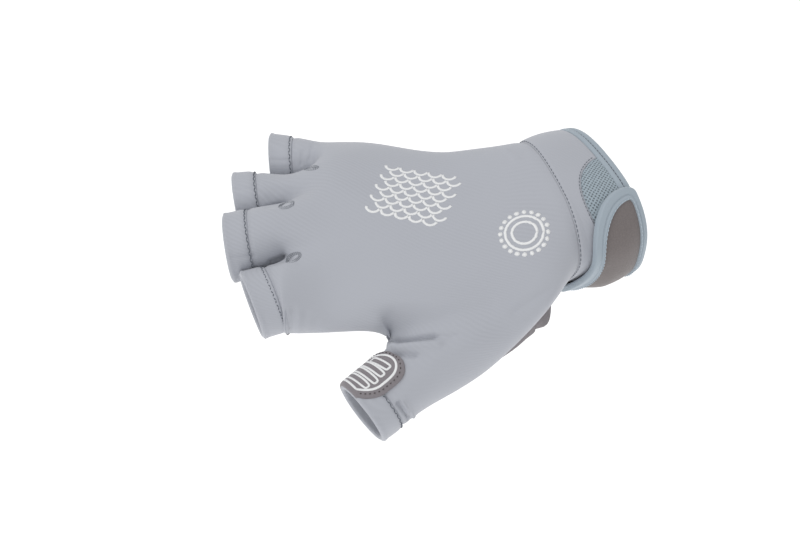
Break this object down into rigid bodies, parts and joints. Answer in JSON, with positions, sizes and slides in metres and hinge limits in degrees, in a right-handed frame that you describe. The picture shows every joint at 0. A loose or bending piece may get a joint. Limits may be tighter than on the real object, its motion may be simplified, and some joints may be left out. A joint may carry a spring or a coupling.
{
  "type": "fishing glove",
  "caption": "Right-hand half-finger sun glove in light grey stretch cloth, with a grip palm, turned hems, a net insert and a wrapped wrist tab, kept in the form of a worn hand.",
  "frame": {"origin": "centre of the wrist opening, where the hand goes in", "axes": "+X from the fingers to the wrist, +Y from the thumb side to the little finger side, +Z out of the back of the hand"},
  "size_m": [0.1541, 0.1243, 0.0586],
  "materials": {
    "stretch_cloth": "light grey warp-knitted stretch cloth, slight sheen",
    "grip_cloth": "matt warm grey microfibre grip cloth",
    "binding_tape": "blue-grey folded elastic tape",
    "net": "fine blue-grey knitted net",
    "loop_cloth": "matt dark warm grey brushed loop cloth"
  },
  "bodies": {
    "root": {"back_panel": "stretch_cloth", "palm_panel": "grip_cloth", "finger_hem_index": "stretch_cloth", "finger_hem_middle": "stretch_cloth", "finger_hem_ring": "stretch_cloth", "finger_hem_little": "stretch_cloth", "thumb_hem": "stretch_cloth", "wrist_binding": "binding_tape", "cuff_band": "stretch_cloth", "cuff_mesh": "net", "closure_tab": "loop_cloth", "tab_binding": "binding_tape", "thumb_patch": "grip_cloth"}
  },
  "joints": []
}
